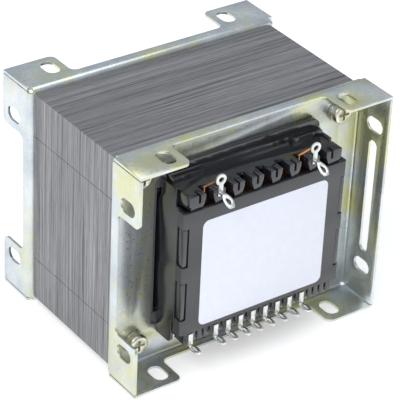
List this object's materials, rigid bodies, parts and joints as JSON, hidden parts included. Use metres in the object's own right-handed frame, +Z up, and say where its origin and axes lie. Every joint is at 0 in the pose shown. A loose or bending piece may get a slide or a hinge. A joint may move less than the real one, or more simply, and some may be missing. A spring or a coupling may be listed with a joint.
{
  "type": "laminated chassis transformer",
  "caption": "Open laminated mains transformer clamped between two pressed, slotted end frames, with a moulded coil former, clip-on coil covers and solder tags.",
  "frame": {"origin": "on the underside of the end frames' bottom flanges, at the centre of the four bottom slots, below the centre of the core", "axes": "+X to the right as seen from the side with the tags and the label, +Y from that side towards the rear, +Z up"},
  "size_m": [0.125, 0.1099, 0.105],
  "materials": {
    "core_steel": "varnished electrical steel, satin",
    "zinc_sheet": "zinc-plated sheet, satin",
    "screw_steel": "zinc-plated, yellowish passivation",
    "sleeve_paper": "matt",
    "former_plastic": "glossy moulded polyamide",
    "copper_winding": "enamelled copper, glossy",
    "insulation_film": "satin",
    "wrap_film": "satin",
    "cover_plastic": "fine matt moulding",
    "label_film": "satin",
    "tinned_tag": "tinned, satin",
    "copper_wire": "enamelled copper, glossy"
  },
  "bodies": {
    "root": {"e_laminations": "core_steel", "i_laminations": "core_steel", "front_frame": "zinc_sheet", "rear_frame": "zinc_sheet", "screws": "screw_steel", "front_washers": "screw_steel", "rear_washers": "screw_steel", "nuts": "screw_steel", "screw_sleeves": "sleeve_paper", "coil_former": "former_plastic", "primary_winding": "copper_winding", "winding_insulation": "insulation_film", "secondary_winding": "copper_winding", "outer_wrap": "wrap_film", "left_side_plate": "cover_plastic", "right_side_plate": "cover_plastic", "front_cover": "cover_plastic", "rear_cover": "cover_plastic", "label": "label_film", "primary_tag_1": "tinned_tag", "primary_tag_2": "tinned_tag", "secondary_tag_1": "tinned_tag", "secondary_tag_2": "tinned_tag", "secondary_tag_3": "tinned_tag", "secondary_tag_4": "tinned_tag", "secondary_tag_5": "tinned_tag", "secondary_tag_6": "tinned_tag", "secondary_tag_7": "tinned_tag", "secondary_tag_8": "tinned_tag", "secondary_tag_9": "tinned_tag", "primary_leads": "copper_wire", "secondary_leads": "copper_wire"}
  },
  "joints": []
}
